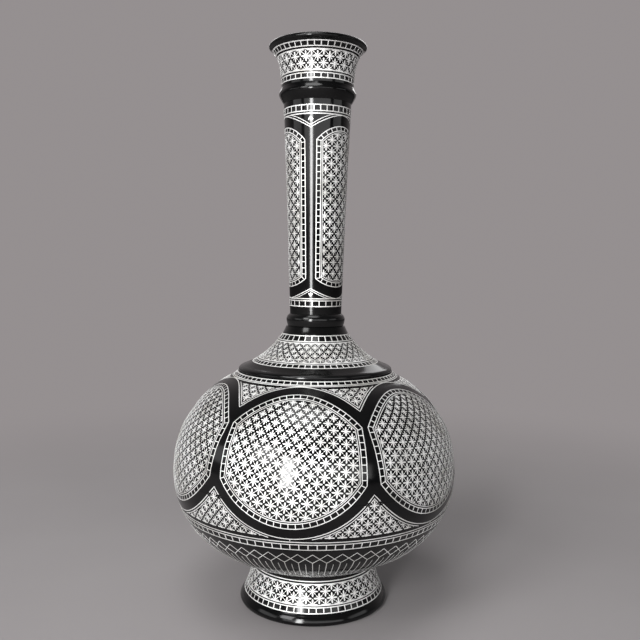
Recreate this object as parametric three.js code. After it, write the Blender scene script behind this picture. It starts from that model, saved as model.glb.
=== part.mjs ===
import * as THREE from 'three';
import { mergeVertices } from 'three/addons/utils/BufferGeometryUtils.js';

// Bidri vase: eight turned zinc alloy castings stacked on one axis, with silver hoops
// hammered into grooves chased round them. Millimetres, +Z up, the foot stands on Z = 0.

// Facets round the axis, shared by all pieces so that mating faces stay parallel.
const facets = 36;
// Steps along the large outlines and along the small mouldings.
const bodySteps = 9;
const mouldingSteps = 6;
// The inner side of a wall takes every second step of its outer side.
const liningStride = 2;

// Walls and joints.
const footWall = 3.4;
const bodyWall = 3.0;
const shoulderWall = 3.0;
const neckWall = 2.6;
const mouthWall = 3.0;
const seatGap = 0.1;
const spigotWall = 1.4;
const spigotLength = 3.0;

// Silver inlay.
const silverThickness = 0.8;
const grooveGap = 0.1;

// Heights of the solder seams, from the floor up.
const footTop = 24.0;
const bodyWidest = 74.0;
const bodyTop = 126.3;
const shoulderTop = 150.6;
const neckRingTop = 157.3;
const neckTop = 268.6;
const beadTop = 277.0;
const rimTop = 300.0;

// Radii at the seams and at the widest places.
const footRimRadius = 40.4;
const footBandRadius = 36.4;
const footTopRadius = 33.2;
const bodyRadius = 76.4;
const bodyTopRadius = 41.9;
const ledgeRadius = 41.5;
const shoulderTopRadius = 15.9;
const neckRingRadius = 15.8;
const neckFootRadius = 13.9;
const neckTopRadius = 18.0;
const beadRadius = 20.6;
const collarRadius = 19.2;
const lipRadius = 26.0;

// Inside radii of the ways through the seams.
const neckBore = 11.0;
const shoulderMouth = 35.2;

// Silver hoops: lower and upper edge of each band.
const footTopBand = [20.3, 21.6];
const footLowBand = [6.2, 9.2];
const bodyLowBand = [52.2, 56.5];
const bodyTopBand = [124.3, 125.8];
const shoulderLowBand = [131.6, 133.6];
const shoulderTopBand = [142.8, 146.6];
const neckLowBand = [161.6, 165.8];
const neckTopBand = [261.2, 265.7];
const mouthLowBand = [278.6, 281.4];
const mouthTopBand = [292.4, 296.0];

const point = (radius, height) => new THREE.Vector2(radius, height);

// A smooth outline through a few turned diameters, from the bottom up.
function turned(steps, ...points) {
  return new THREE.SplineCurve(points).getPoints(steps);
}

// Radius of an outline at one height.
function radiusAt(outline, height) {
  const next = outline.findIndex((p, i) => i > 0 && p.y >= height);
  const above = outline[next < 0 ? outline.length - 1 : next];
  const below = outline[next < 0 ? outline.length - 2 : next - 1];
  const share = (height - below.y) / (above.y - below.y);
  return below.x + (above.x - below.x) * share;
}

// Cuts a groove for each silver hoop into an outline.
function chased(outline, bands) {
  const result = [];
  let reached = -Infinity;
  for (const [low, high] of bands) {
    const start = low - grooveGap;
    const end = high + grooveGap;
    const depth = silverThickness + grooveGap;
    const startRadius = radiusAt(outline, start);
    const endRadius = radiusAt(outline, end);
    result.push(...outline.filter((p) => p.y > reached && p.y < start - grooveGap));
    result.push(point(startRadius, start), point(startRadius - depth, start));
    result.push(point(endRadius - depth, end), point(endRadius, end));
    reached = end + grooveGap;
  }
  result.push(...outline.filter((p) => p.y > reached));
  return result;
}

// Revolves a closed or axis-to-axis outline, with its outer side listed from the bottom up.
function revolve(outline) {
  const onAxis = outline[0].x === 0;
  const loop = onAxis ? outline : [...outline, outline[0].clone()];
  const lathe = new THREE.LatheGeometry(loop, facets);
  lathe.rotateX(Math.PI / 2);
  lathe.deleteAttribute('normal');
  lathe.deleteAttribute('uv');
  const merged = mergeVertices(lathe, 1e-5);
  const corners = [];
  const index = merged.index.array;
  for (let i = 0; i < index.length; i += 3) {
    const [a, b, c] = [index[i], index[i + 1], index[i + 2]];
    if (a !== b && b !== c && c !== a) corners.push(a, b, c);
  }
  merged.setIndex(corners);
  merged.computeVertexNormals();
  return merged;
}

// The inner side of a wall: the outer outline moved in, kept between two seams and listed
// from the top down.
function lining(outline, wall, low = -Infinity, high = Infinity) {
  const last = outline.length - 1;
  return outline.map((p, i) => {
    const before = outline[Math.max(i - 1, 0)];
    const after = outline[Math.min(i + 1, last)];
    const along = after.clone().sub(before).normalize();
    const height = Math.min(Math.max(p.y + along.x * wall, low), high);
    return point(p.x - along.y * wall, height);
  }).filter((p, i) => i % liningStride === 0 || i === last).reverse();
}

// Outer outlines of the castings.
const footOutline = [
  point(footRimRadius - 1.6, 0),
  ...turned(
    bodySteps,
    point(footRimRadius - 0.5, 0.5),
    point(footRimRadius, 2.0),
    point(footRimRadius - 1.0, 4.2),
    point(footBandRadius + 1.5, 6.2),
    point(footBandRadius, 9.8),
    point(footTopRadius + 1.6, 14.6),
    point(footTopRadius + 0.5, 20.0),
    point(footTopRadius, footTop),
  ),
];
const bodyLowerOutline = turned(
  bodySteps,
  point(footTopRadius + 0.2, footTop + seatGap),
  point(41.5, 26.8),
  point(52.0, 32.2),
  point(60.2, 38.0),
  point(66.8, 45.0),
  point(72.3, 54.0),
  point(bodyRadius - 0.9, 64.0),
  point(bodyRadius, bodyWidest),
);
const bodyUpperOutline = turned(
  bodySteps,
  point(bodyRadius, bodyWidest + seatGap),
  point(bodyRadius - 1.2, 86.0),
  point(71.8, 96.5),
  point(67.2, 104.0),
  point(61.2, 112.0),
  point(52.4, 119.6),
  point(45.2, 123.7),
  point(bodyTopRadius, bodyTop),
);
const ledgeOutline = turned(
  mouldingSteps,
  point(ledgeRadius - 0.4, bodyTop + seatGap),
  point(ledgeRadius, bodyTop + 1.1),
  point(ledgeRadius - 0.6, bodyTop + 2.3),
  point(ledgeRadius - 2.9, bodyTop + 3.3),
);
const coneOutline = turned(
  mouldingSteps,
  point(34.3, 131.4),
  point(30.9, 133.6),
  point(27.2, 136.3),
  point(23.3, 139.9),
  point(20.0, 143.8),
  point(17.5, 147.2),
  point(shoulderTopRadius, shoulderTop),
);
const neckRingOutline = turned(
  mouldingSteps,
  point(neckRingRadius - 0.7, shoulderTop + seatGap),
  point(neckRingRadius, shoulderTop + 3.2),
  point(neckRingRadius - 0.4, neckRingTop - 1.4),
  point(neckFootRadius + 0.2, neckRingTop),
);
const neckOutline = turned(
  mouldingSteps,
  point(neckFootRadius, neckRingTop + seatGap),
  point(14.15, 166.0),
  point(14.8, 186.0),
  point(15.6, 210.0),
  point(16.5, 234.0),
  point(17.4, 254.0),
  point(neckTopRadius, neckTop),
);
const beadOutline = turned(
  mouldingSteps,
  point(neckTopRadius, neckTop + seatGap),
  point(beadRadius - 1.2, 270.8),
  point(beadRadius, 273.5),
  point(beadRadius - 0.9, 275.7),
  point(collarRadius, beadTop),
);
const mouthOutline = turned(
  bodySteps,
  point(collarRadius, beadTop + seatGap),
  point(collarRadius + 0.2, 281.6),
  point(collarRadius + 0.8, 286.4),
  point(21.3, 291.8),
  point(24.1, 296.2),
  point(lipRadius - 0.2, 297.6),
  point(lipRadius, 298.6),
  point(lipRadius - 1.0, 299.7),
  point(lipRadius - 2.4, rimTop),
);

// Spigots hang from the upper piece into the mouth of the lower one.
const footBore = footTopRadius - footWall;
const bodyLap = bodyRadius - spigotWall;
const shoulderLap = shoulderMouth + spigotWall;

// Foot: a flared ring, open below, with its seat for the body's spigot on top.
const foot = revolve([
  ...chased(footOutline, [footLowBand, footTopBand]),
  point(footBore, footTop),
  point(footBore, footTop - spigotLength - seatGap),
  ...lining(footOutline.slice(4, -2), footWall),
  point(footRimRadius - footWall - 2.0, 0),
]);

// Lower half of the bowl: closed bottom, a spigot into the foot, a rebate round its rim.
const bodyLower = revolve([
  point(0, footTop + seatGap),
  point(footBore - seatGap - spigotWall, footTop + seatGap),
  point(footBore - seatGap - spigotWall, footTop - spigotLength),
  point(footBore - seatGap, footTop - spigotLength),
  point(footBore - seatGap, footTop + seatGap),
  ...chased(bodyLowerOutline, [bodyLowBand]),
  point(bodyLap, bodyWidest),
  point(bodyLap, bodyWidest - spigotLength - seatGap),
  point(bodyRadius - bodyWall, bodyWidest - spigotLength - seatGap),
  ...lining(bodyLowerOutline.slice(1, -1), bodyWall),
  point(0, footTop + bodyWall + 0.6),
]);

// Upper half of the bowl, with its lap inside the lower half and a mouth for the shoulder.
const bodyUpper = revolve([
  point(bodyRadius - bodyWall, bodyWidest - spigotLength),
  point(bodyLap - seatGap, bodyWidest - spigotLength),
  point(bodyLap - seatGap, bodyWidest + seatGap),
  ...chased(bodyUpperOutline, [bodyTopBand]),
  point(shoulderLap + seatGap, bodyTop),
  point(shoulderLap + seatGap, bodyTop - bodyWall - 0.8),
  ...lining(bodyUpperOutline.slice(1, -2), bodyWall),
]);

// Shoulder: rounded ledge and hollowed cone, one casting.
const shoulderOutline = [...ledgeOutline, ...coneOutline];
const shoulder = revolve([
  point(shoulderMouth, bodyTop - spigotLength),
  point(shoulderLap, bodyTop - spigotLength),
  point(shoulderLap, bodyTop + seatGap),
  ...chased(shoulderOutline, [shoulderLowBand, shoulderTopBand]),
  point(neckBore, shoulderTop),
  ...lining(coneOutline.slice(0, -2), shoulderWall),
]);

// Ring moulding at the root of the neck.
const neckRing = revolve([
  point(neckBore, shoulderTop + seatGap),
  ...neckRingOutline,
  point(neckBore, neckRingTop),
]);

// Neck: a long tube, slightly wider towards the top.
const neck = revolve([
  ...chased(neckOutline, [neckLowBand, neckTopBand]),
  ...lining(neckOutline, neckWall, neckRingTop + seatGap, neckTop),
]);

// Bead between neck and mouth.
const beadBore = neckTopRadius - neckWall;
const bead = revolve([
  point(beadBore, neckTop + seatGap),
  ...beadOutline,
  point(beadBore, beadTop),
]);

// Mouth: straight collar, flare and rounded lip.
const mouth = revolve([
  ...chased(mouthOutline, [mouthLowBand, mouthTopBand]),
  point(lipRadius - 3.4, rimTop - 0.6),
  ...lining(mouthOutline.slice(0, -5), mouthWall, beadTop + seatGap),
]);

// A silver hoop that fills the groove between two heights of its casting.
function hoop(outline, [low, high]) {
  const lowRadius = radiusAt(outline, low);
  const highRadius = radiusAt(outline, high);
  return revolve([
    point(lowRadius - silverThickness, low),
    point(lowRadius, low),
    point(highRadius, high),
    point(highRadius - silverThickness, high),
  ]);
}

const blackAlloy = { color: 0x15161a, roughness: 0.28, metalness: 0.75 };
const silver = { color: 0xd9dadb, roughness: 0.3, metalness: 1.0 };

const vase = new THREE.Group();
vase.name = 'bidri_vase';

function place(name, geometry, finish) {
  const mesh = new THREE.Mesh(geometry, new THREE.MeshStandardMaterial(finish));
  mesh.name = name;
  vase.add(mesh);
}

place('foot', foot, blackAlloy);
place('body_lower_half', bodyLower, blackAlloy);
place('body_upper_half', bodyUpper, blackAlloy);
place('shoulder', shoulder, blackAlloy);
place('neck_ring', neckRing, blackAlloy);
place('neck', neck, blackAlloy);
place('collar_bead', bead, blackAlloy);
place('mouth', mouth, blackAlloy);

place('silver_hoop_foot_low', hoop(footOutline, footLowBand), silver);
place('silver_hoop_foot_top', hoop(footOutline, footTopBand), silver);
place('silver_hoop_body_low', hoop(bodyLowerOutline, bodyLowBand), silver);
place('silver_hoop_body_top', hoop(bodyUpperOutline, bodyTopBand), silver);
place('silver_hoop_shoulder_low', hoop(shoulderOutline, shoulderLowBand), silver);
place('silver_hoop_shoulder_top', hoop(shoulderOutline, shoulderTopBand), silver);
place('silver_hoop_neck_low', hoop(neckOutline, neckLowBand), silver);
place('silver_hoop_neck_top', hoop(neckOutline, neckTopBand), silver);
place('silver_hoop_mouth_low', hoop(mouthOutline, mouthLowBand), silver);
place('silver_hoop_mouth_top', hoop(mouthOutline, mouthTopBand), silver);

export default vase;
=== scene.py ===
import math

import bpy
import numpy as np
from mathutils import Matrix, Vector


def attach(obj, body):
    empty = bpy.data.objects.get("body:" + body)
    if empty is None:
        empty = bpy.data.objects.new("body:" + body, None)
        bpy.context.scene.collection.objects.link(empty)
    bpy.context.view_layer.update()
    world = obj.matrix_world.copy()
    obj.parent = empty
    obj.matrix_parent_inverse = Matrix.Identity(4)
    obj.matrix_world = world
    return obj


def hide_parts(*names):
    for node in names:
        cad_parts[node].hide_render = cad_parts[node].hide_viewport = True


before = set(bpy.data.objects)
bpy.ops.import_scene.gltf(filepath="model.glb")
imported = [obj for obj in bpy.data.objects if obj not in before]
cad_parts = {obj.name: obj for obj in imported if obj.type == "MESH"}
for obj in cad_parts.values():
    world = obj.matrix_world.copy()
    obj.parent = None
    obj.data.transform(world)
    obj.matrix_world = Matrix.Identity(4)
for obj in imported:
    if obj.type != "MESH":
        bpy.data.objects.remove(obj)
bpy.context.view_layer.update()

MM = 0.001
ROUND = 216
FAR = 1e9

# Turned outlines of the castings, radius and height in millimetres, from the bottom up.
FOOT = [(39.9, 0.5), (40.4, 2.0), (39.4, 4.2), (37.9, 6.2), (36.4, 9.8), (34.8, 14.6),
        (33.7, 20.0), (33.2, 24.0)]
BODY_LOW = [(33.4, 24.1), (41.5, 26.8), (52.0, 32.2), (60.2, 38.0), (66.8, 45.0),
            (72.3, 54.0), (75.5, 64.0), (76.4, 74.0)]
BODY_UP = [(76.4, 74.1), (75.2, 86.0), (71.8, 96.5), (67.2, 104.0), (61.2, 112.0),
           (52.4, 119.6), (45.2, 123.7), (41.9, 126.3)]
LEDGE = [(41.1, 126.4), (41.5, 127.4), (40.9, 128.6), (38.6, 129.6)]
CONE = [(34.3, 131.4), (30.9, 133.6), (27.2, 136.3), (23.3, 139.9), (20.0, 143.8),
        (17.5, 147.2), (15.9, 150.6)]
NECK_RING = [(15.1, 150.7), (15.8, 153.8), (15.4, 155.9), (14.1, 157.3)]
NECK = [(13.9, 157.4), (14.15, 166.0), (14.8, 186.0), (15.6, 210.0), (16.5, 234.0),
        (17.4, 254.0), (18.0, 268.6)]
BEAD = [(18.0, 268.7), (19.4, 270.8), (20.6, 273.5), (19.7, 275.7), (19.2, 277.0)]
MOUTH = [(19.2, 277.1), (19.4, 281.6), (20.0, 286.4), (21.3, 291.8), (24.1, 296.2),
         (25.8, 297.6), (26.0, 298.6), (25.0, 299.7), (23.6, 300.0)]


def spline(points, steps):
    """Curve through turned diameters, the same one as in the solids."""
    points = [np.array(p, float) for p in points]
    last = len(points) - 1
    out = []
    for k in range(steps + 1):
        place = last * k / steps
        i = min(int(place), last - 1)
        w = place - i
        a, b = points[max(i - 1, 0)], points[i]
        c, d = points[i + 1], points[min(i + 2, last)]
        v, u = (c - a) / 2, (d - b) / 2
        out.append((2 * b - 2 * c + v + u) * w**3 + (3 * c - 3 * b - 2 * v - u) * w * w
                   + v * w + b)
    return np.array(out)


class Surface:
    """An outline turned round the axis, addressed by angle and by length along it."""

    def __init__(self, outline):
        self.outline = outline
        step = np.diff(outline, axis=0)
        self.s = np.concatenate([[0], np.cumsum(np.hypot(step[:, 0], step[:, 1]))])
        along = np.gradient(outline, self.s, axis=0)
        along /= np.linalg.norm(along, axis=1)[:, None]
        self.normal = np.stack([along[:, 1], -along[:, 0]], 1)

    def at_height(self, z):
        return float(np.interp(z, self.outline[:, 1], self.s))

    def radius(self, s):
        return np.interp(s, self.s, self.outline[:, 0])

    def points(self, angle, s, lift=0.0):
        """Places on the surface in metres; angle is from the front, to the right."""
        r = np.interp(s, self.s, self.outline[:, 0])
        z = np.interp(s, self.s, self.outline[:, 1])
        r = r + lift * np.interp(s, self.s, self.normal[:, 0])
        z = z + lift * np.interp(s, self.s, self.normal[:, 1])
        return np.stack([r * np.sin(angle), -r * np.cos(angle), z], -1) * MM


foot_outline = np.vstack([[(38.8, 0.0)], spline(FOOT, 60)])
shoulder_outline = np.vstack([spline(LEDGE, 24), spline(CONE, 60)])
body_low_outline = spline(BODY_LOW, 90)
body_up_outline = spline(BODY_UP, 90)
FOOT_S = Surface(foot_outline)
BODY_S = Surface(np.vstack([body_low_outline, body_up_outline[1:]]))
CONE_S = Surface(spline(CONE, 60))
NECK_S = Surface(spline(NECK, 90))
MOUTH_S = Surface(spline(MOUTH, 60))


def socket(node, name, value):
    node.inputs[name].default_value = value


def new_material(name):
    mat = bpy.data.materials.new(name)
    mat.use_nodes = True
    nodes = mat.node_tree.nodes
    return mat, nodes, mat.node_tree.links, nodes["Principled BSDF"]


def black_material():
    """Blackened alloy: oiled, with fine turning marks, and a little cloudy."""
    mat, nodes, links, shader = new_material("black_alloy")
    coords = nodes.new("ShaderNodeTexCoord")
    cloud = nodes.new("ShaderNodeTexNoise")
    socket(cloud, "Scale", 38.0)
    socket(cloud, "Detail", 6.0)
    links.new(coords.outputs["Object"], cloud.inputs["Vector"])
    tint = nodes.new("ShaderNodeValToRGB")
    tint.color_ramp.elements[0].position = 0.3
    tint.color_ramp.elements[0].color = (0.001, 0.001, 0.0012, 1)
    tint.color_ramp.elements[1].position = 0.75
    tint.color_ramp.elements[1].color = (0.006, 0.006, 0.006, 1)
    links.new(cloud.outputs["Fac"], tint.inputs["Fac"])
    links.new(tint.outputs["Color"], shader.inputs["Base Color"])
    rough = nodes.new("ShaderNodeMapRange")
    socket(rough, "To Min", 0.08)
    socket(rough, "To Max", 0.17)
    links.new(cloud.outputs["Fac"], rough.inputs["Value"])
    links.new(rough.outputs["Result"], shader.inputs["Roughness"])
    stretch = nodes.new("ShaderNodeMapping")
    socket(stretch, "Scale", (300.0, 300.0, 4200.0))
    links.new(coords.outputs["Object"], stretch.inputs["Vector"])
    turning = nodes.new("ShaderNodeTexNoise")
    socket(turning, "Scale", 1.0)
    socket(turning, "Detail", 3.0)
    links.new(stretch.outputs["Vector"], turning.inputs["Vector"])
    bump = nodes.new("ShaderNodeBump")
    socket(bump, "Strength", 0.06)
    socket(bump, "Distance", 0.0001)
    links.new(turning.outputs["Fac"], bump.inputs["Height"])
    links.new(bump.outputs["Normal"], shader.inputs["Normal"])
    socket(shader, "Metallic", 0.0)
    socket(shader, "Specular IOR Level", 0.32)
    return mat


def silver_material():
    """Hammered silver, bright in some patches and tarnished in others."""
    mat, nodes, links, shader = new_material("silver")
    coords = nodes.new("ShaderNodeTexCoord")
    patches = nodes.new("ShaderNodeTexNoise")
    socket(patches, "Scale", 60.0)
    socket(patches, "Detail", 5.0)
    links.new(coords.outputs["Object"], patches.inputs["Vector"])
    tint = nodes.new("ShaderNodeValToRGB")
    tint.color_ramp.elements[0].position = 0.3
    tint.color_ramp.elements[0].color = (0.62, 0.61, 0.58, 1)
    tint.color_ramp.elements[1].position = 0.55
    tint.color_ramp.elements[1].color = (0.93, 0.93, 0.92, 1)
    links.new(patches.outputs["Fac"], tint.inputs["Fac"])
    links.new(tint.outputs["Color"], shader.inputs["Base Color"])
    grain = nodes.new("ShaderNodeTexNoise")
    socket(grain, "Scale", 900.0)
    socket(grain, "Detail", 3.0)
    links.new(coords.outputs["Object"], grain.inputs["Vector"])
    rough = nodes.new("ShaderNodeMapRange")
    socket(rough, "To Min", 0.5)
    socket(rough, "To Max", 0.7)
    links.new(grain.outputs["Fac"], rough.inputs["Value"])
    links.new(rough.outputs["Result"], shader.inputs["Roughness"])
    bump = nodes.new("ShaderNodeBump")
    socket(bump, "Strength", 0.25)
    socket(bump, "Distance", 0.0001)
    links.new(grain.outputs["Fac"], bump.inputs["Height"])
    links.new(bump.outputs["Normal"], shader.inputs["Normal"])
    socket(shader, "Metallic", 0.7)
    return mat


BLACK = black_material()
SILVER = silver_material()


def add_piece(name, verts, faces, mat, nodes=(), smooth=True):
    mesh = bpy.data.meshes.new(name)
    mesh.from_pydata([tuple(v) for v in verts], [], faces)
    mesh.validate()
    mesh.update()
    if smooth:
        mesh.shade_smooth()
        mesh.set_sharp_from_angle(angle=math.radians(32))
    mesh.materials.append(mat)
    obj = bpy.data.objects.new(name, mesh)
    bpy.context.scene.collection.objects.link(obj)
    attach(obj, "root")
    if nodes:
        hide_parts(*nodes)


def turned_piece(name, loop, nodes, closed=True):
    """Revolves an outline that closes on itself or runs from axis to axis."""
    loop = np.array(loop)
    turn = np.arange(ROUND) * 2 * math.pi / ROUND
    verts = [(r * math.sin(a) * MM, -r * math.cos(a) * MM, z * MM)
             for r, z in loop for a in turn]
    faces = []
    rows = len(loop)
    for i in range(rows if closed else rows - 1):
        j = (i + 1) % rows
        for k in range(ROUND):
            m = (k + 1) % ROUND
            faces.append((i * ROUND + k, i * ROUND + m, j * ROUND + m, j * ROUND + k))
    if not closed:
        faces.append(tuple(range(ROUND))[::-1])
        faces.append(tuple((rows - 1) * ROUND + k for k in range(ROUND)))
    add_piece(name, verts, faces, BLACK, nodes)


def inner(outline, wall, low=-FAR, high=FAR):
    """The inner side of a wall, from the top down."""
    surface = Surface(outline)
    moved = outline - surface.normal * wall
    moved[:, 1] = np.clip(moved[:, 1], low, high)
    return moved[::3][::-1]


turned_piece("foot_casting", [*foot_outline, (29.8, 24.0), (29.8, 20.9),
                              *inner(foot_outline[30:-8], 3.4), (35.0, 0.0)], ["foot"])
turned_piece("bowl_lower", [(0.5, 24.1), (28.3, 24.1), (28.3, 21.0), (29.7, 21.0),
                            (29.7, 24.1), *body_low_outline, (75.0, 74.0), (75.0, 70.9),
                            (73.4, 70.9), *inner(body_low_outline[8:-10], 3.0),
                            (0.5, 27.7)], ["body_lower_half"], closed=False)
turned_piece("bowl_upper", [(73.4, 71.0), (74.9, 71.0), (74.9, 74.1), *body_up_outline,
                            (36.7, 126.3), (36.7, 122.5),
                            *inner(body_up_outline[6:-20], 3.0)], ["body_upper_half"])
turned_piece("shoulder_cone", [(35.2, 123.3), (36.6, 123.3), (36.6, 126.4),
                               *shoulder_outline, (11.0, 150.6),
                               *inner(shoulder_outline[25:-16], 3.0)], ["shoulder"])
turned_piece("neck_root_ring", [(11.0, 150.7), *spline(NECK_RING, 24), (11.0, 157.3)],
             ["neck_ring"])
turned_piece("neck_tube", [*NECK_S.outline, *inner(NECK_S.outline, 2.6, 157.4, 268.6)],
             ["neck"])
turned_piece("bead", [(15.4, 268.7), *spline(BEAD, 30), (15.4, 277.0)], ["collar_bead"])
turned_piece("mouth_flare", [*MOUTH_S.outline, (22.6, 299.4),
                             *inner(MOUTH_S.outline[:36], 3.0, 277.1)], ["mouth"])


# Silver inlay. It stands a little proud of the black metal and is sunk into it.
PROUD = 0.05
SUNK = -0.15
WIRE = 0.5
RUNG = 0.4

# Arms of a star: angle from the arm's middle in degrees, reach in millimetres.
FAT_ARM = [(-22, 0.6), (-15, 1.4), (-10.5, 2.1), (-4, 2.6), (4, 2.6), (10.5, 2.1), (15, 1.4),
           (22, 0.6)]
THIN_ARM = [(-14, 0.74), (-9, 1.5), (-3, 2.1), (3, 2.1), (9, 1.5), (14, 0.74)]

# A star's raised middle, the least share of its arms worth keeping, how far its arms may
# reach past a border, and the smallest arm end worth keeping in square millimetres.
CROWN = 0.05
LEAST_SHARE = 0.42
STAR_REACH = 2.8
LEAST_AREA = 0.12


class Inlay:
    """Collects the strips and stars of one silver piece."""

    def __init__(self, surface):
        self.surface = surface
        self.verts = []
        self.faces = []

    def prism(self, angle, s):
        """A flat patch with walls; its outline runs anticlockwise seen from outside."""
        n = len(angle)
        base = len(self.verts)
        self.verts.extend(self.surface.points(angle, s, PROUD))
        self.verts.extend(self.surface.points(angle, s, SUNK))
        for k in range(n):
            m = (k + 1) % n
            self.faces.append((base + k, base + n + k, base + n + m, base + m))
        return base, n

    def strip(self, path, width=WIRE, closed=False):
        """A wire of one width along a path of angle and length."""
        path = np.array(path, float)
        left = offset(self.surface, path, width / 2, closed)
        right = offset(self.surface, path, -width / 2, closed)
        n = len(path)
        base = len(self.verts)
        for side, lift in ((left, SUNK), (left, PROUD), (right, PROUD), (right, SUNK)):
            self.verts.extend(self.surface.points(side[:, 0], side[:, 1], lift))
        for k in range(n if closed else n - 1):
            m = (k + 1) % n
            for row in range(3):
                a, b = base + row * n, base + (row + 1) * n
                self.faces.append((a + k, a + m, b + m, b + k))
        if not closed:
            for k in (0, n - 1):
                ring = tuple(base + row * n + k for row in range(4))
                self.faces.append(ring if k else ring[::-1])

    def hoop(self, z):
        turn = np.linspace(0, 2 * math.pi, 240, endpoint=False)
        s = self.surface.at_height(z)
        self.strip([(a, s) for a in turn], closed=True)

    def rungs(self, low, high, count):
        a, b = self.surface.at_height(low), self.surface.at_height(high)
        for k in range(count):
            turn = 2 * math.pi * (k + 0.5) / count
            self.strip([(turn, a), (turn, (a + b) / 2), (turn, b)])

    def star(self, turn, s, size, tilt, region):
        """An eight-armed star, its arms cut back where they would cross the border."""
        arms = np.array([(90 * quarter + lean + way, reach) for quarter in range(4)
                         for lean, arm in ((0, FAT_ARM), (45, THIN_ARM)) for way, reach in arm])
        way = np.radians(arms[:, 0] + tilt)
        reach = arms[:, 1] * size
        du = np.cos(way) * reach / self.surface.radius(s)
        ds = np.sin(way) * reach
        keep = cut_back(turn, s, du, ds, region)
        if keep.mean() < LEAST_SHARE:
            return
        base, n = self.prism(turn + du * keep, s + ds * keep)
        middle = len(self.verts)
        self.verts.extend(self.surface.points(np.array([turn]), np.array([s]), PROUD + CROWN))
        for k in range(n):
            self.faces.append((base + k, base + (k + 1) % n, middle))

    def star_ends(self, turn, s, size, tilt, region):
        """The arm ends of a star whose middle lies just outside the border."""
        radius = float(self.surface.radius(s))
        a = (region - (turn, s)) * (radius, 1.0)
        step = np.roll(a, -1, 0) - a
        length = np.linalg.norm(step, axis=1)
        inward = np.stack([-step[:, 1], step[:, 0]], 1) / length[:, None]
        along = np.clip(-(a * step).sum(1) / length**2, 0, 1)
        near = np.linalg.norm(a + step * along[:, None], axis=1) < STAR_REACH * size
        if not near.any():
            return
        for eighth in range(8):
            arm = np.array([(0.0, 0.0), *(THIN_ARM if eighth % 2 else FAT_ARM)])
            way = np.radians(arm[:, 0] + 45 * eighth + tilt)
            shape = np.stack([np.cos(way), np.sin(way)], 1) * arm[:, 1:] * size
            for corner, normal in zip(a[near], inward[near]):
                shape = clipped(shape, corner, normal)
                if len(shape) < 3:
                    break
            if len(shape) < 3:
                continue
            x, y = shape[:, 0], shape[:, 1]
            area = float((x * np.roll(y, -1) - y * np.roll(x, -1)).sum()) / 2
            if area > LEAST_AREA:
                base, n = self.prism(turn + x / radius, s + y)
                self.faces.append(tuple(range(base, base + n)))

    def finish(self, name, nodes=()):
        add_piece(name, self.verts, self.faces, SILVER, nodes, smooth=False)


def clipped(shape, corner, normal):
    """The part of a convex shape on the inner side of one line."""
    side = (shape - corner) @ normal
    out = []
    for k in range(len(shape)):
        m = (k + 1) % len(shape)
        if side[k] >= 0:
            out.append(shape[k])
        if side[k] * side[m] < 0:
            out.append(shape[k] + (shape[m] - shape[k]) * side[k] / (side[k] - side[m]))
    return np.array(out)


def offset(surface, path, distance, closed=False):
    """Moves a path sideways by a real distance on the surface; positive is to its left."""
    radius = surface.radius(path[:, 1])
    if closed:
        ahead, behind = np.roll(path, -1, 0), np.roll(path, 1, 0)
    else:
        ahead = np.vstack([path[1:], path[-1:]])
        behind = np.vstack([path[:1], path[:-1]])
    step = ahead - behind
    if closed:
        step[:, 0] = (step[:, 0] + math.pi) % (2 * math.pi) - math.pi
    step = step * np.stack([radius, np.ones(len(path))], 1)
    step /= np.linalg.norm(step, axis=1)[:, None]
    out = path.copy()
    out[:, 0] -= step[:, 1] * distance / radius
    out[:, 1] += step[:, 0] * distance
    return out


def cut_back(turn, s, du, ds, region):
    """Share of each arm that stays inside a closed region."""
    a = region
    b = np.roll(region, -1, 0)
    ex, ey = (b - a)[:, 0], (b - a)[:, 1]
    wx, wy = a[:, 0] - turn, a[:, 1] - s
    cross = du[:, None] * ey[None, :] - ds[:, None] * ex[None, :]
    cross = np.where(np.abs(cross) < 1e-12, 1e-12, cross)
    t = (wx * ey - wy * ex)[None, :] / cross
    q = (wx[None, :] * ds[:, None] - wy[None, :] * du[:, None]) / cross
    t = np.where((t > 0) & (q >= 0) & (q <= 1), t, 10.0)
    return np.minimum(1.0, t.min(axis=1))


def inside(turn, s, region):
    a = region
    b = np.roll(region, -1, 0)
    spans = (a[:, 1] > s) != (b[:, 1] > s)
    rise = np.where(b[:, 1] == a[:, 1], 1e-12, b[:, 1] - a[:, 1])
    x = a[:, 0] + (s - a[:, 1]) / rise * (b[:, 0] - a[:, 0])
    return bool((spans & (x > turn)).sum() % 2)


def ladder(place, surface, low, high, count, *lines):
    """A band of two rails with rungs, and any plain lines beside it; it replaces one hoop."""
    band = Inlay(surface)
    for z in (low, high, *lines):
        band.hoop(z)
    band.rungs(low, high, count)
    band.finish(f"ladder_{place}", [f"silver_hoop_{place}"])


ladder("mouth_top", MOUTH_S, 293.7, 296.0, 42, 292.4)
ladder("mouth_low", MOUTH_S, 278.7, 281.2, 35, 282.5)
ladder("neck_top", NECK_S, 262.4, 265.5, 33, 261.1)
ladder("neck_low", NECK_S, 161.7, 164.7, 24, 165.8)
ladder("shoulder_top", CONE_S, 143.7, 146.5, 34, 142.9)
ladder("shoulder_low", CONE_S, 131.6, 133.1, 63, 133.7)
ladder("body_top", BODY_S, 124.6, 126.1, 79, 124.1)
ladder("body_low", BODY_S, 52.2, 55.1, 107, 56.4)
ladder("foot_low", FOOT_S, 6.2, 8.8, 61, 9.8)
ladder("foot_top", FOOT_S, 21.2, 19.8, 0)


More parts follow.
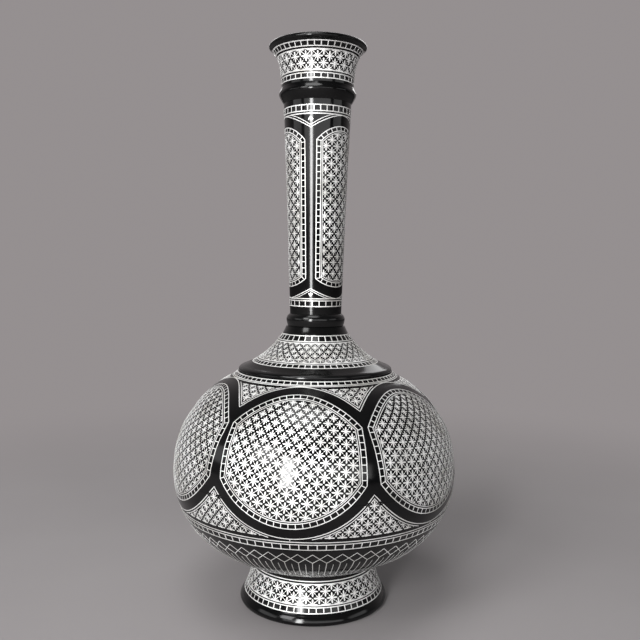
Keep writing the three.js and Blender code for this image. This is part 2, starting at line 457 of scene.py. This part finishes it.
def star_band(name, surface, low, high, rows, around, size):
    """Staggered rows of stars between two lines, cut off at both."""
    stars = Inlay(surface)
    a, b = surface.at_height(low), surface.at_height(high)
    edge = 0.25
    region = np.array([(-0.5, a + edge), (7.5, a + edge), (7.5, b - edge), (-0.5, b - edge)])
    for row in range(rows + 1):
        s = a + (b - a) * row / rows
        s = min(max(s, a + edge + 0.1), b - edge - 0.1)
        scale = size * float(surface.radius(s) / surface.radius((a + b) / 2))
        for k in range(around):
            turn = 2 * math.pi * (k + 0.5 * (row % 2)) / around
            stars.star(turn, s, scale, 0, region)
    stars.finish(name)


star_band("stars_mouth", MOUTH_S, 282.5, 292.4, 3, 21, 0.98)
star_band("stars_foot", FOOT_S, 9.8, 19.8, 3, 33, 1.04)
star_band("stars_shoulder", CONE_S, 133.7, 142.9, 5, 33, 0.78)

# Body: six framed panels, with spandrels above and below the pillars between them.
PANELS = 6
PANEL_TURN = math.radians(-8.2)
PITCH = 6.4

# Circle that the arches are cut from, in half widths, and the steps along a panel's edges.
ARCH_RADIUS = 1.35
ARCH_STEPS = 28
SIDE_STEPS = 12

# A field of stars is laid out this far from its middle, and this far past its ends.
FIELD_REACH = 80
MARGIN = 2.5


def arch(left, right, corner_z, crown_z, surface):
    """A round arch from one corner to the other, as angles and lengths."""
    a, c = surface.at_height(corner_z), surface.at_height(crown_z)
    foot = math.sqrt(ARCH_RADIUS**2 - 1)
    out = []
    for k in range(ARCH_STEPS + 1):
        x = -1 + 2 * k / ARCH_STEPS
        bend = math.sqrt(ARCH_RADIUS**2 - x * x) - foot
        bend /= ARCH_RADIUS - foot
        out.append((left + (right - left) * k / ARCH_STEPS, a + (c - a) * bend))
    return out


def panel_path(surface, half_top, half_low, corner_top, corner_low, crown_top, crown_low):
    """A barrel-shaped frame, anticlockwise seen from outside, about angle zero."""
    low = arch(-half_low, half_low, corner_low, crown_low, surface)
    top = arch(half_top, -half_top, corner_top, crown_top, surface)
    sl, st = surface.at_height(corner_low), surface.at_height(corner_top)
    right = [(half_low + (half_top - half_low) * k / SIDE_STEPS, sl + (st - sl) * k / SIDE_STEPS)
             for k in range(1, SIDE_STEPS)]
    left = [(-a, s) for a, s in right[::-1]]
    return np.array(low + right + top + left)


def shifted(path, turn):
    return path + np.array([turn, 0.0])


def rungs_between(inlay, outer, inner_path, pitch):
    """Rungs from one closed path to the other, evenly spaced along them."""
    radius = inlay.surface.radius(outer[:, 1])
    step = (np.roll(outer, -1, 0) - outer) * np.stack([radius, np.ones(len(outer))], 1)
    run = np.concatenate([[0], np.cumsum(np.linalg.norm(step, axis=1))])
    count = int(run[-1] / pitch)
    ring_out = np.vstack([outer, outer[:1]])
    ring_in = np.vstack([inner_path, inner_path[:1]])
    for k in range(count):
        at = run[-1] * k / count
        p = [np.interp(at, run, ring_out[:, i]) for i in (0, 1)]
        q = [np.interp(at, run, ring_in[:, i]) for i in (0, 1)]
        inlay.strip([p, q], RUNG)


def star_field(inlay, region, centre, pitch, tilt, size):
    """A staggered square lattice of stars that fills a region."""
    c, s0 = centre
    radius = float(inlay.surface.radius(s0))
    lean = math.radians(tilt)
    reach = int(FIELD_REACH / pitch) + 2
    for i in range(-reach, reach + 1):
        for j in range(-reach, reach + 1):
            if (i + j) % 2:
                continue
            x, y = i * pitch / 2, j * pitch / 2
            u = x * math.cos(lean) - y * math.sin(lean)
            v = x * math.sin(lean) + y * math.cos(lean)
            s = s0 + v
            turn = c + u / radius
            if s < region[:, 1].min() - MARGIN or s > region[:, 1].max() + MARGIN:
                continue
            scale = size * float(inlay.surface.radius(s)) / radius
            if inside(turn, s, region):
                inlay.star(turn, s, scale, tilt, region)
            else:
                inlay.star_ends(turn, s, scale, tilt, region)


def framed_panel(name, surface, path, turn, rails, widths, pitch, field):
    """A frame of three lines with rungs between the first two, and the stars inside it."""
    outer = shifted(path, turn)
    rail, line, border = (offset(surface, outer, inset, True) for inset in rails)
    frame_piece = Inlay(surface)
    for wire, width in zip((outer, rail, line), widths):
        frame_piece.strip(wire, width, closed=True)
    rungs_between(frame_piece, outer, rail, pitch)
    frame_piece.finish(f"{name}_frame")
    stars = Inlay(surface)
    centre, spacing, tilt, size = field
    star_field(stars, border, (turn, centre), spacing, tilt, size)
    stars.finish(f"{name}_stars")


body_path = panel_path(BODY_S, math.radians(28.6), math.radians(27.3), 107.5, 82.8, 120.9, 63.2)
field_centre = BODY_S.at_height(92.0)
for k in range(PANELS):
    framed_panel(f"body_panel_{k + 1}", BODY_S, body_path, PANEL_TURN + 2 * math.pi * k / PANELS,
                 (2.5, 3.5, 3.9), (0.42, 0.42, 0.36), 3.5, (field_centre, PITCH, -6, 1.0))


def spandrel_outline(surface, path, base, sign, gap):
    """The corner between two arches and a base line, about angle zero."""
    grown = offset(surface, path, -gap, True)
    half = math.pi / PANELS
    side = [tuple(p) for p in grown if 0.0 <= p[0] <= half and sign * (p[1] - field_centre) > 0]
    side = sorted(side)
    beyond = [p for p in side if sign * (base - p[1]) > 0]
    before = [p for p in side if sign * (base - p[1]) <= 0]
    (a, s), (b, t) = beyond[-2], beyond[-1]
    tip = t + (t - s) / (b - a) * (half - b)
    if before:
        (a, s), (b, t) = before[-1], beyond[0]
        start = (a + (b - a) * (base - s) / (t - s), base)
    else:
        start = (beyond[0][0], base)
    left = [(a - half, s) for a, s in [start] + beyond] + [(0.0, tip)]
    outline = np.array(left + [(-a, s) for a, s in left[:-1]][::-1])
    return outline[::-1] if sign < 0 else outline


def spandrel(name, surface, path, base_z, sign, pillar, gap):
    """A star-filled corner between two arches, on the band above or below them."""
    base = surface.at_height(base_z)
    edge = Inlay(surface)
    lines = [spandrel_outline(surface, path, base - sign * inset, sign, gap + inset)
             for inset in (0.0, 1.2, 1.6)]
    lines = [shifted(line, pillar) for line in lines]
    edge.strip(lines[0], 0.45)
    edge.strip(lines[1], 0.4)
    star_field(edge, lines[2], (pillar, base - sign * 5.0), PITCH * 0.92, 0, 0.92)
    edge.finish(name)


for k in range(PANELS):
    pillar = PANEL_TURN + math.pi / PANELS + 2 * math.pi * k / PANELS
    spandrel(f"body_spandrel_top_{k + 1}", BODY_S, body_path, 123.9, 1, pillar, 6.2)
    spandrel(f"body_spandrel_low_{k + 1}", BODY_S, body_path, 56.9, -1, pillar, 5.4)

# Petal border under the bowl.
petals = Inlay(BODY_S)
PETALS = 62
tip_s, node_s, end_s = (BODY_S.at_height(z) for z in (49.4, 43.8, 33.4))
share = np.linspace(0, 1, 10)
step = 2 * math.pi / PETALS
for k in range(PETALS):
    here = 2 * math.pi * k / PETALS
    for side in (-1, 1):
        petals.strip([(here + side * step * t, tip_s + (node_s - tip_s) * t)
                      for t in share], 0.34)
    petals.strip([(here, node_s + (end_s - node_s) * t) for t in share], 0.32)
    petals.strip([(here + step / 2, node_s - 1.4 + (end_s - node_s) * t * 0.86)
                  for t in share], 0.25)
petals.finish("petal_border")


def sprig(name, pillar, base_z, tip_z):
    """A pointed double line with three short leaves, hanging down or standing up."""
    piece = Inlay(NECK_S)
    base, tip = NECK_S.at_height(base_z), NECK_S.at_height(tip_z)
    for inset, width in ((0.0, 0.4), (0.17, 0.3)):
        wide = math.radians(56) * (1 - inset * 1.6)
        far = tip - (tip - base) * inset
        piece.strip([(pillar + wide * x, base + (far - base) * (1 - abs(x)) ** 1.5)
                     for x in np.linspace(-1, 1, 25)], width)
    start = base + (tip - base) * 0.22
    for lean in (-38, 0, 38):
        way = math.radians(90 + lean) * (1 if tip > base else -1)
        du = math.cos(way) * LEAF_LENGTH / LEAF_RADIUS
        ds = math.sin(way) * LEAF_LENGTH
        piece.strip([(pillar + du * t, start + ds * t) for t in (0, 0.5, 1.0)], 0.6)
    piece.finish(name)


# Neck: three tall panels, a pendant and a gable on the pillars between them.
LEAF_LENGTH = 1.9
LEAF_RADIUS = 16.5
NECK_PANELS = 3
NECK_PILLAR = math.radians(-11.0)
neck_path = panel_path(NECK_S, math.radians(49.4), math.radians(49.4), 247.9, 176.5, 255.3, 172.0)
neck_centre = NECK_S.at_height(212.0)
for k in range(NECK_PANELS):
    pillar = NECK_PILLAR + 2 * math.pi * k / NECK_PANELS
    turn = pillar + math.pi / NECK_PANELS
    framed_panel(f"neck_panel_{k + 1}", NECK_S, neck_path, turn,
                 (2.2, 3.1, 3.5), (0.45, 0.45, 0.35), 3.2, (neck_centre, 6.0, 0, 0.92))
    sprig(f"neck_pendant_{k + 1}", pillar, 260.9, 254.2)
    sprig(f"neck_gable_{k + 1}", pillar, 166.0, 171.2)


# Camera, fitted to the inlaid rings and the silhouette of the photograph.
camera_data = bpy.data.cameras.new("camera")
camera_data.lens = 43.31
camera_data.sensor_width = 36.0
camera_data.clip_start = 0.01
camera = bpy.data.objects.new("camera", camera_data)
bpy.context.scene.collection.objects.link(camera)
camera.matrix_world = (Matrix.Translation((0.0024, -0.4183, 0.1843))
                       @ Matrix.Rotation(math.radians(90 - 4.19), 4, "X")
                       @ Matrix.Rotation(math.radians(0.55), 4, "Z"))
bpy.context.scene.camera = camera


BACKDROP = (0.3, 0.277, 0.28, 1)


def stage_material(name, low, high):
    """A plain matt floor that turns into the backdrop's colour away from the object."""
    mat, nodes, links, shader = new_material(name)
    noise = nodes.new("ShaderNodeTexNoise")
    socket(noise, "Scale", 9.0)
    ramp = nodes.new("ShaderNodeValToRGB")
    ramp.color_ramp.elements[0].color = (*low, 1)
    ramp.color_ramp.elements[1].color = (*high, 1)
    links.new(noise.outputs["Fac"], ramp.inputs["Fac"])
    links.new(ramp.outputs["Color"], shader.inputs["Base Color"])
    socket(shader, "Roughness", 0.85)
    coords = nodes.new("ShaderNodeTexCoord")
    links.new(coords.outputs["Object"], noise.inputs["Vector"])
    away = nodes.new("ShaderNodeVectorMath")
    away.operation = "LENGTH"
    links.new(coords.outputs["Object"], away.inputs[0])
    fade = nodes.new("ShaderNodeMapRange")
    fade.interpolation_type = "SMOOTHSTEP"
    socket(fade, "From Min", 0.14)
    socket(fade, "From Max", 0.62)
    links.new(away.outputs["Value"], fade.inputs["Value"])
    rays = nodes.new("ShaderNodeLightPath")
    share = nodes.new("ShaderNodeMath")
    share.operation = "MULTIPLY"
    links.new(fade.outputs["Result"], share.inputs[0])
    links.new(rays.outputs["Is Camera Ray"], share.inputs[1])
    glow = nodes.new("ShaderNodeEmission")
    socket(glow, "Color", BACKDROP)
    blend = nodes.new("ShaderNodeMixShader")
    links.new(share.outputs["Value"], blend.inputs["Fac"])
    links.new(shader.outputs["BSDF"], blend.inputs[1])
    links.new(glow.outputs["Emission"], blend.inputs[2])
    links.new(blend.outputs["Shader"], nodes["Material Output"].inputs["Surface"])
    return mat


floor_colour = stage_material("floor", (0.3, 0.28, 0.283), (0.34, 0.32, 0.323))
floor_mesh = bpy.data.meshes.new("floor")
FLOOR_RADIUS = 9
FLOOR_SIDES = 64
rim = [(FLOOR_RADIUS * math.cos(a), FLOOR_RADIUS * math.sin(a), 0.0)
       for a in np.arange(FLOOR_SIDES) * 2 * math.pi / FLOOR_SIDES]
floor_mesh.from_pydata(rim, [], [tuple(range(FLOOR_SIDES))])
floor_mesh.materials.append(floor_colour)
floor = bpy.data.objects.new("floor", floor_mesh)
bpy.context.scene.collection.objects.link(floor)


def softbox(name, place, aim, width, height, power):
    """A soft lamp; place, aim, width and height in metres, power in watts."""
    data = bpy.data.lights.new(name, "AREA")
    data.shape = "RECTANGLE"
    data.size = width
    data.size_y = height
    data.energy = power
    obj = bpy.data.objects.new(name, data)
    bpy.context.scene.collection.objects.link(obj)
    obj.location = place
    way = Vector(aim) - Vector(place)
    obj.rotation_euler = way.to_track_quat("-Z", "Y").to_euler()


softbox("key_left", (-0.42, -1.15, 0.36), (0, 0, 0.17), 0.19, 0.75, 14.0)
softbox("wall_front", (0.0, -1.4, 0.5), (0, 0, 0.28), 2.8, 0.5, 9.5)
softbox("wall_left", (-1.6, -0.5, 0.57), (0, 0, 0.28), 1.0, 0.42, 2.0)
softbox("wall_right", (1.6, -0.5, 0.57), (0, 0, 0.28), 1.0, 0.42, 1.6)
softbox("fill_left", (-0.9, -1.0, 0.95), (0, 0, 0.12), 0.5, 0.6, 8.0)
softbox("top", (-0.2, -0.4, 1.5), (0, 0, 0.1), 0.7, 0.7, 8.0)
softbox("back", (0.1, 1.6, 1.0), (0, 0, 0.12), 1.2, 0.6, 4.5)

# The camera sees the plain backdrop all round, and glossy metal sees it behind the object.
world = bpy.data.worlds.new("world")
bpy.context.scene.world = world
world.use_nodes = True
nodes, links = world.node_tree.nodes, world.node_tree.links
nodes.clear()
output = nodes.new("ShaderNodeOutputWorld")
mix = nodes.new("ShaderNodeMixShader")
path = nodes.new("ShaderNodeLightPath")
ambient = nodes.new("ShaderNodeBackground")
backdrop = nodes.new("ShaderNodeBackground")
socket(ambient, "Color", (0.62, 0.63, 0.65, 1))
socket(ambient, "Strength", 0.08)
socket(backdrop, "Color", BACKDROP)
socket(backdrop, "Strength", 1.0)
facing = nodes.new("ShaderNodeTexCoord")
axes = nodes.new("ShaderNodeSeparateXYZ")
links.new(facing.outputs["Generated"], axes.inputs["Vector"])
behind = nodes.new("ShaderNodeMapRange")
socket(behind, "From Min", 0.0)
socket(behind, "From Max", 0.6)
links.new(axes.outputs["Y"], behind.inputs["Value"])
shown = nodes.new("ShaderNodeMath")
shown.operation = "MULTIPLY_ADD"
links.new(path.outputs["Is Glossy Ray"], shown.inputs[0])
links.new(behind.outputs["Result"], shown.inputs[1])
links.new(path.outputs["Is Camera Ray"], shown.inputs[2])
links.new(shown.outputs["Value"], mix.inputs["Fac"])
links.new(ambient.outputs["Background"], mix.inputs[1])
links.new(backdrop.outputs["Background"], mix.inputs[2])
links.new(mix.outputs["Shader"], output.inputs["Surface"])
bpy.context.scene.view_settings.view_transform = "Standard"
